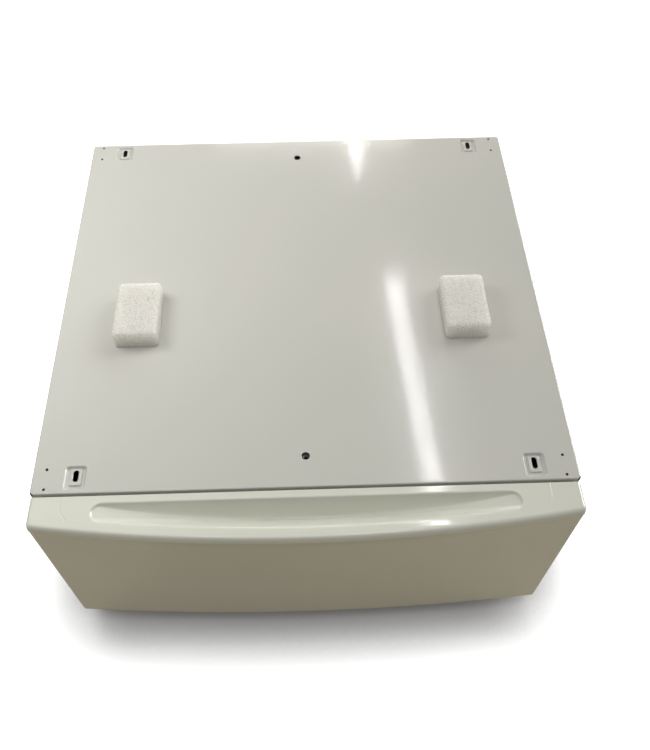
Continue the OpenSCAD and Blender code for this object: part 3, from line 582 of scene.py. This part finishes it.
# A pocket's dish and its raised plate: half width, half length and corner radius
DISH = (13.8, 17.0, 5.0)
DISH_AHEAD = 1.2
DISH_DEEP = 3.9
DISH_WALL = 4.4
PLATE = (7.6, 11.8, 2.0)
PLATE_BEHIND = 0.8
PLATE_LOW = 1.8
PLATE_STEP = 2.4
LIP = 0.25
LIP_WIDE = 0.8

# Holes in the top: radius and how far the rim is rolled
CENTRE_HOLE = (5.25, 0.8)
CENTRE_HOLE_ROWS = (-247.5, 319.0)
CORNER_HOLE = (1.8, 0.35)
CORNER_HOLE_X = 326.0
CORNER_HOLE_ROWS = (-284.4, -256.6, 326.6, 354.4)
HOLE_STEPS = 40
# A hole's rolled rim: how far out and how far down each ring lies, as shares of the roll
ROLLED_RIM = ((0.0, 0.7), (0.3, 0.25), (0.65, 0.06), (1.0, 0.0), (1.4, 0.0))

SLIT_PLACE = (341.15, -289.75, 345.2)
SLIT_SIZE = (6.0, 1.5, 1.6)


def round_box(u, v, half_u, half_v, r):
    """Distance to a box with round corners, below zero inside."""
    du = abs(u) - half_u + r
    dv = abs(v) - half_v + r
    return math.hypot(max(du, 0.0), max(dv, 0.0)) + min(max(du, dv), 0.0) - r


def slot_gap(u, v):
    """Distance to a pocket's slot. u and v count outwards and back from the pocket's middle."""
    return math.hypot(u, max(abs(v - SLOT_BEHIND) - SLOT_STRAIGHT, 0.0)) - SLOT_R


def dish(u, v):
    return round_box(u, v + DISH_AHEAD, *DISH)


def plate(u, v):
    return round_box(u, v - PLATE_BEHIND, *PLATE)


def pocket_height(u, v):
    """Height against the panel's top face: a dish with a raised plate round the slot."""
    wall = -DISH_DEEP * soft_step((0.3 - dish(u, v)) / DISH_WALL)
    raised = -PLATE_LOW - PLATE_STEP * soft_step((plate(u, v) + 0.6) / 1.2)
    lip = LIP * soft_step(1 - slot_gap(u, v) / LIP_WIDE)
    return -soft_min(-wall, -raised, 0.4) - lip


def reach_to(shape, angle, limit):
    """How far a ray from the slot's middle goes before it leaves a shape."""
    low, high = 0.0, limit
    for _ in range(26):
        middle = (low + high) / 2
        u, v = middle * math.cos(angle), SLOT_BEHIND + middle * math.sin(angle)
        low, high = (middle, high) if shape(u, v) < 0 else (low, middle)
    return low


def pocket_rings(angle):
    """Distances of a pocket's rings along one ray, close together where the sheet bends."""
    slot = reach_to(slot_gap, angle, 30)
    shoulder = reach_to(plate, angle, 30)
    edge = reach_to(dish, angle, 40)
    rings = [slot, slot + 0.25, slot + 0.5, slot + 0.85]
    rings += spread(slot + 0.85, max(shoulder - 0.9, slot + 0.95), 2)[1:]
    rings += spread(rings[-1], max(shoulder + 1.0, rings[-1] + 0.3), 7)[1:]
    rings += spread(rings[-1], edge + 0.5, 14)[1:]
    rings += [edge + 0.75, edge + 1.1]
    return rings


def pressed_pocket(side, y):
    rings = [pocket_rings(2 * math.pi * ray / POCKET_RAYS) for ray in range(POCKET_RAYS)]

    def place(column, row):
        ray = column % POCKET_RAYS
        far = rings[ray][row]
        angle = 2 * math.pi * ray / POCKET_RAYS
        u, v = far * math.cos(angle), SLOT_BEHIND + far * math.sin(angle)
        flat = far >= rings[ray][-3] - 1e-9
        height = 0.0 if flat else pocket_height(u, v)
        return side * (SLOT_X + u), y + v, PANEL_TOP + height

    pocket = formed_sheet("pocket", POCKET_RAYS, len(rings[0]) - 1, place)
    close_seam(pocket)
    return pocket


def punched_hole(x, y, radius, roll):
    """A hole whose rim is rolled down a little."""

    def place(column, row):
        angle = 2 * math.pi * (column % HOLE_STEPS) / HOLE_STEPS
        out, down = ROLLED_RIM[row]
        far = radius + roll * out
        return x + far * math.cos(angle), y + far * math.sin(angle), PANEL_TOP - roll * down

    hole = formed_sheet("hole", HOLE_STEPS, len(ROLLED_RIM) - 1, place)
    close_seam(hole)
    return hole


def cut_corner_slit(pan, side):
    """The narrow relief slit across a front corner of the pan."""
    x, y, z = SLIT_PLACE
    nothing_selected()
    bpy.ops.mesh.primitive_cube_add(size=MM, location=(side * x * MM, y * MM, z * MM),
                                    rotation=(0, 0, side * math.pi / 4), scale=SLIT_SIZE)
    cutter = new_piece("slit_cutter")
    modify(pan, "BOOLEAN", object=cutter, operation="DIFFERENCE", solver="EXACT")
    bpy.data.objects.remove(cutter)


def top_panel():
    """A shallow pan: a box with no floor, its top made anew round the pockets and holes."""
    nothing_selected()
    size = (2 * PANEL_HALF, PANEL_REAR - PANEL_FRONT, PANEL_TOP - SKIRT_LOW)
    middle = (0, (PANEL_REAR + PANEL_FRONT) / 2 * MM, (PANEL_TOP + SKIRT_LOW) / 2 * MM)
    bpy.ops.mesh.primitive_cube_add(size=MM, location=middle, scale=size)
    pan = new_piece("pressed_top_panel")
    pick(pan, "FACE", lambda p, n: n.z < -0.9)
    bpy.ops.mesh.delete(type="FACE")
    pick(pan, "EDGE", lambda a, b: abs(a.z - b.z) > 1)
    bpy.ops.mesh.bevel(offset=CORNER_R * MM, segments=6, affect="EDGES")
    pick(pan, "EDGE", lambda a, b: min(a.z, b.z) > PANEL_TOP - 0.01)
    bpy.ops.mesh.bevel(offset=FOLD * MM, segments=7, affect="EDGES")
    pick(pan, "FACE", lambda p, n: n.z > 0.999 and p.z > PANEL_TOP - 0.001)
    bpy.ops.mesh.inset(thickness=RIM * MM)
    bpy.ops.mesh.delete(type="FACE")

    patches = [pressed_pocket(side, y) for side in SIDES for y in POCKET_ROWS]
    patches += [punched_hole(0, y, *CENTRE_HOLE) for y in CENTRE_HOLE_ROWS]
    patches += [punched_hole(side * CORNER_HOLE_X, y, *CORNER_HOLE)
                for side in SIDES for y in CORNER_HOLE_ROWS]
    nothing_selected()
    for patch in patches:
        patch.select_set(True)
    pan.select_set(True)
    bpy.context.view_layer.objects.active = pan
    bpy.ops.object.join()

    # The flat sheet between the folded edge and the patches' outer rings
    pick(pan, "EDGE", lambda a, b: False)
    bpy.ops.mesh.select_non_manifold()
    bpy.ops.object.mode_set(mode="OBJECT")
    for edge in pan.data.edges:
        ends = [pan.data.vertices[i].co.z / MM for i in edge.vertices]
        if min(ends) < PANEL_TOP - 0.0005:
            edge.select = False
    bpy.ops.object.mode_set(mode="EDIT")
    bpy.ops.mesh.fill(use_beauty=True)
    bpy.ops.mesh.select_all(action="SELECT")
    bpy.ops.mesh.normals_make_consistent(inside=False)
    nothing_selected()
    turn_up(pan, max(pan.data.polygons, key=lambda face: face.area))

    modify(pan, "SOLIDIFY", thickness=SHEET * MM, offset=-1.0)
    for side in SIDES:
        cut_corner_slit(pan, side)
    smooth(pan, 35)
    coat(pan, "white_enamel")
    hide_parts("top_panel")
    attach(pan, "cabinet")


# ---------- foam pads ----------

PAD_EDGE = 7.5
PAD_CELL = 1.1
# Size of the pattern in metres, and depth in millimetres
BEADS = (0.0034, 0.9)
DENTS = (0.022, 1.2)


def press_pattern(pad, name, kind, scale, depth):
    """Sinks a pattern into the pad's skin, which never rises by it."""
    pattern = bpy.data.textures.new(name, kind)
    pattern.noise_scale = scale
    modify(pad, "DISPLACE", texture=pattern, texture_coords="GLOBAL", strength=-depth * MM,
           mid_level=0.0)


def foam_pad(name):
    """A block cut from bead foam, its corners softened and its skin pebbled."""
    low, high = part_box(name)
    nothing_selected()
    bpy.ops.mesh.primitive_cube_add(size=1.0, location=(low + high) / 2, scale=high - low)
    pad = new_piece("bead_" + name)
    base = low.z / MM
    pick(pad, "EDGE", lambda a, b: max(a.z, b.z) > base + 1)
    bpy.ops.mesh.bevel(offset=PAD_EDGE * MM, segments=5, affect="EDGES")
    modify(pad, "REMESH", mode="VOXEL", voxel_size=PAD_CELL * MM)
    press_pattern(pad, "beads", "VORONOI", *BEADS)
    press_pattern(pad, "dents", "CLOUDS", *DENTS)
    for vertex in pad.data.vertices:
        vertex.co = Vector(min(max(c, a), b) for c, a, b in zip(vertex.co, low, high))
    smooth(pad, 60)
    coat(pad, "white_foam")
    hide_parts(name)
    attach(pad, "cabinet")


# ---------- stage, light and camera ----------

WHITE = (1, 1, 1)
DAYLIGHT = (1.0, 0.99, 0.965)
SKY_LIGHT = 0.135
FLOOR_SIZE = 60.0
FLOOR_GLOW = 1.1
SHADOW_REACH = 0.10
SHADOW_DEPTH = 3.5

# Lights that show as streaks: from, to, width, brightness, and whether they light matt faces too
STRIPS = (
    ((0.17, -0.66, 2.6), (0.72, -0.66, 2.6), 0.05, 25.0, False),
    ((-0.50, -0.66, 2.6), (-0.40, -0.66, 2.6), 0.1, 25.0, False),
    ((0.480, 2.052, 2.6), (0.574, 0.55, 2.6), 0.012, 110.0, True),
    ((0.360, 2.882, 2.6), (0.334, 3.9, 2.6), 0.012, 110.0, True),
)

LENS = 38.518
SENSOR = 36.0
LENS_SHIFT = 0.01573
VIEW_PLACE = (-0.0011, -0.74226, 1.24263)
VIEW_RIGHT = Vector((0.999528, -0.030331, -0.004786))
VIEW_BACK = Vector((-0.013287, -0.567758, 0.823088))


def stage():
    """A floor that is white to the eye and keeps a shadow, and a duller one to other rays."""
    nothing_selected()
    bpy.ops.mesh.primitive_plane_add(size=FLOOR_SIZE, location=(0, 0, 0))
    floor = new_piece("floor")
    f = Finish("pale_floor")
    to_camera = f.node("LightPath", out="Is Camera Ray")
    seen = to_camera.maths("MAXIMUM", to_camera.output("Is Transmission Ray"))
    grey = f.colour_mix(f.band(f.noise(3.0, 2.0), 0.3, 0.7),
                        rgb(0.295, 0.295, 0.295), rgb(0.305, 0.305, 0.305))
    pale = f.node("BsdfDiffuse", {}, {"Color": grey})
    open_sky = f.node("AmbientOcclusion", {"samples": 12}, {"Distance": SHADOW_REACH}, out="AO")
    glow = f.node("Emission", {}, {"Color": rgb(*WHITE),
                                   "Strength": open_sky ** SHADOW_DEPTH * FLOOR_GLOW})
    shown = f.node("AddShader", {}, {0: pale, 1: glow})
    warm = f.node("BsdfDiffuse", {}, {"Color": rgb(0.62, 0.545, 0.42)})
    both = f.node("MixShader", {}, {0: seen, 1: warm, 2: shown})
    f.node("OutputMaterial", {}, {"Surface": both})
    floor.data.materials.append(f.material)


def sky():
    """A soft, faintly warm sky that is plain white to the camera."""
    world = bpy.data.worlds.new("studio")
    bpy.context.scene.world = world
    world.use_nodes = True
    tree = world.node_tree
    tree.nodes.clear()
    rays = tree.nodes.new("ShaderNodeLightPath")
    soft = tree.nodes.new("ShaderNodeBackground")
    soft.inputs["Color"].default_value = rgb(1.0, 0.985, 0.95)
    soft.inputs["Strength"].default_value = SKY_LIGHT
    white = tree.nodes.new("ShaderNodeBackground")
    white.inputs["Color"].default_value = rgb(*WHITE)
    white.inputs["Strength"].default_value = 1.0
    mix = tree.nodes.new("ShaderNodeMixShader")
    tree.links.new(rays.outputs["Is Camera Ray"], mix.inputs[0])
    tree.links.new(soft.outputs[0], mix.inputs[1])
    tree.links.new(white.outputs[0], mix.inputs[2])
    end = tree.nodes.new("ShaderNodeOutputWorld")
    tree.links.new(mix.outputs[0], end.inputs["Surface"])


def hang(name, data, turn):
    """Hangs a light, out of the camera's sight."""
    light = bpy.data.objects.new(name, data)
    bpy.context.scene.collection.objects.link(light)
    light.matrix_world = turn
    light.visible_camera = False
    return light


def lamp(name, kind, place, aim, energy, colour, **settings):
    data = bpy.data.lights.new(name, kind)
    data.energy = energy
    data.color = colour
    for key, value in settings.items():
        setattr(data, key, value)
    turn = (Vector(aim) - Vector(place)).to_track_quat("-Z", "Y").to_matrix().to_4x4()
    return hang(name, data, Matrix.Translation(place) @ turn)


def strip(start, end, width, brightness, lights_matt):
    """A narrow light between two points, facing the floor. Gloss faces show it as a streak."""
    start, end = Vector(start), Vector(end)
    length = (end - start).length
    data = bpy.data.lights.new("strip", "AREA")
    data.shape = "RECTANGLE"
    data.size = length
    data.size_y = width
    data.energy = brightness * math.pi * length * width
    along = (end - start).normalized()
    up = Vector((0, 0, 1))
    turn = Matrix((along, up.cross(along), up)).transposed().to_4x4()
    light = hang("strip", data, Matrix.Translation((start + end) / 2) @ turn)
    light.visible_diffuse = lights_matt


def lights():
    lamp("front_sun", "SUN", (-0.1, -0.24, 0.96), (0, 0, 0), 0.26 * math.pi, DAYLIGHT,
         angle=math.radians(40))
    lamp("right_sun", "SUN", (0.75, 0.45, 0.5), (0, 0, 0), 0.43 * math.pi, DAYLIGHT,
         angle=math.radians(35))
    left = lamp("left_softbox", "AREA", (-0.66, 0.12, 1.0), (-0.3, 0.05, 0.345), 3.6,
                (1.0, 0.99, 0.96), shape="SQUARE", size=0.45)
    left.visible_glossy = False
    lamp("rear_softbox", "AREA", (0.05, 1.35, 0.8), (0.0, 0.1, 0.345), 5.0,
         (1.0, 0.985, 0.95), shape="SQUARE", size=0.6)
    wide, tall = 1.3, 0.8
    window = lamp("window", "AREA", (1.9, 1.0, 1.0), (0.0, 0.0, 0.345),
                  14.0 * math.pi * wide * tall, WHITE,
                  shape="RECTANGLE", size=wide, size_y=tall)
    window.visible_diffuse = False
    for row in STRIPS:
        strip(*row)


def camera():
    """Stands where the photograph was taken from."""
    data = bpy.data.cameras.new("camera")
    data.sensor_width = SENSOR
    data.lens = LENS
    data.shift_x = LENS_SHIFT
    view = bpy.data.objects.new("camera", data)
    bpy.context.scene.collection.objects.link(view)
    back = VIEW_BACK.normalized()
    up = back.cross(VIEW_RIGHT.normalized()).normalized()
    turn = Matrix((up.cross(back), up, back)).transposed().to_4x4()
    view.matrix_world = Matrix.Translation(VIEW_PLACE) @ turn
    bpy.context.scene.camera = view


drawer_front()
top_panel()
foam_pad("foam_pad_left")
foam_pad("foam_pad_right")
stage()
sky()
lights()
camera()
bpy.context.scene.view_settings.view_transform = "Standard"
